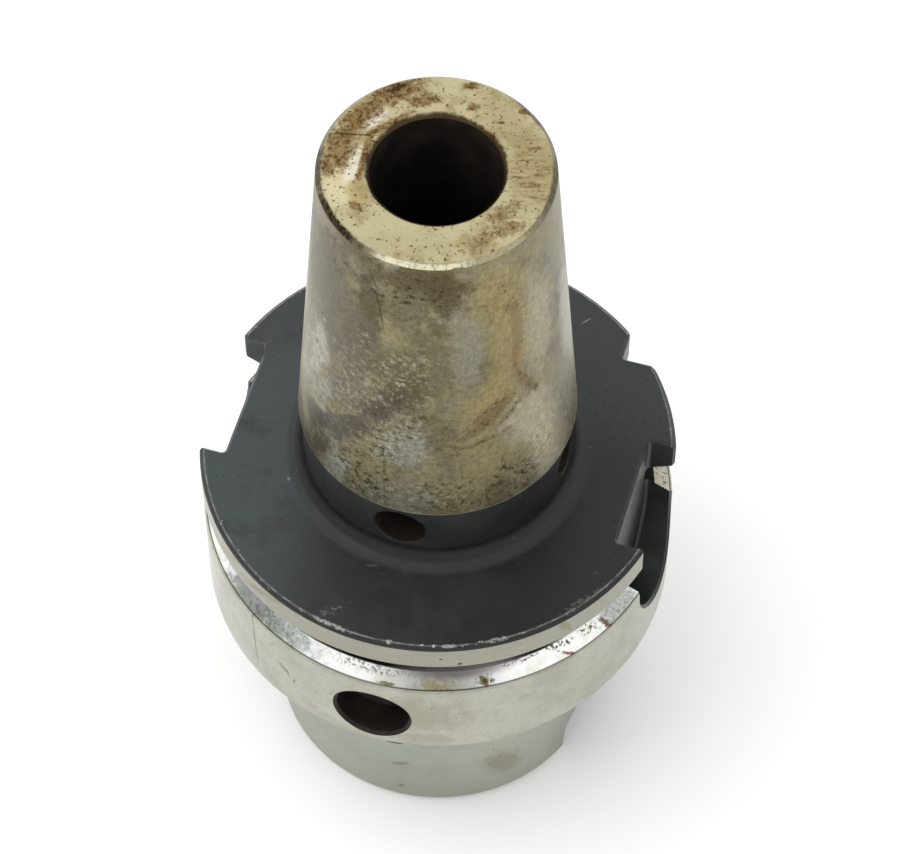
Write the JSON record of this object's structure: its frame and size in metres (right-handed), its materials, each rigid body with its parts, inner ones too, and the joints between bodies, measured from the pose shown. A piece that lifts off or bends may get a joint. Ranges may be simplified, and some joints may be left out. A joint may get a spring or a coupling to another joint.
{
  "type": "shrink fit tool holder",
  "caption": "Steel shrink fit tool holder with a hollow taper shank, a grooved flange with two keyways and a slim heat-tinted cone that grips a round tool shank.",
  "frame": {"origin": "on the axis, in the end face of the shank that the holder stands on", "axes": "+Z along the axis towards the nose, +X out of the keyway for a 16 mm key, -X out of the keyway for an 18 mm key, -Y out of the data chip pocket"},
  "size_m": [0.063, 0.063, 0.1177],
  "materials": {
    "holder_steel": "ground hot-work steel, worn and heat tinted, black oxide on the flange top and neck"
  },
  "bodies": {
    "root": {"holder_body": "holder_steel"}
  },
  "joints": []
}
